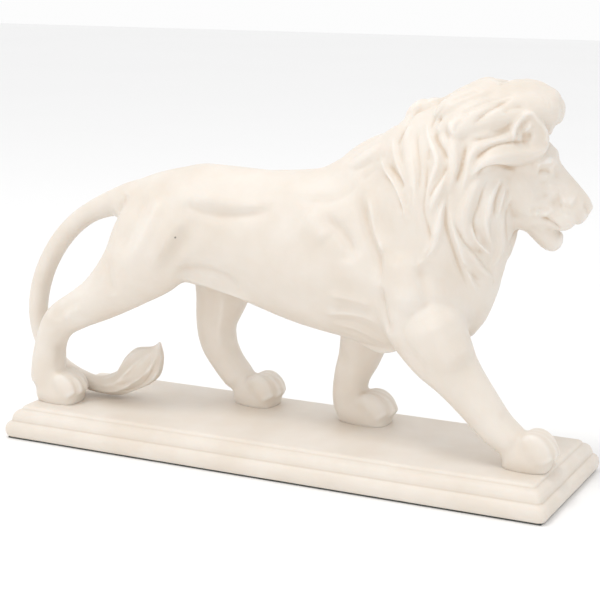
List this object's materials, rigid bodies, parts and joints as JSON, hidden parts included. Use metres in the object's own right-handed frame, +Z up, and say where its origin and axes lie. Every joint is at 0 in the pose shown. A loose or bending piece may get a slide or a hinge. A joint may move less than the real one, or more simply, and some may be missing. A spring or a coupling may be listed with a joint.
{
  "type": "lion figurine",
  "caption": "Cast cream figurine of a walking lion with a full mane and a curled tail, on a long stepped plinth with a felt underlay.",
  "frame": {"origin": "centre of the felt's underside, where the figurine rests", "axes": "+X the way the lion walks, along the plinth; +Y the lion's left; +Z up"},
  "size_m": [0.2795, 0.082, 0.1772],
  "materials": {
    "lion_casting": "satin cream alabaster resin, cast and lightly waxed",
    "plinth_casting": "satin cream alabaster resin, cast, a little yellower than the lion",
    "felt": "thin dark grey-green felt, glued on"
  },
  "bodies": {
    "root": {"lion": "lion_casting", "plinth": "plinth_casting", "felt_underlay": "felt"}
  },
  "joints": []
}
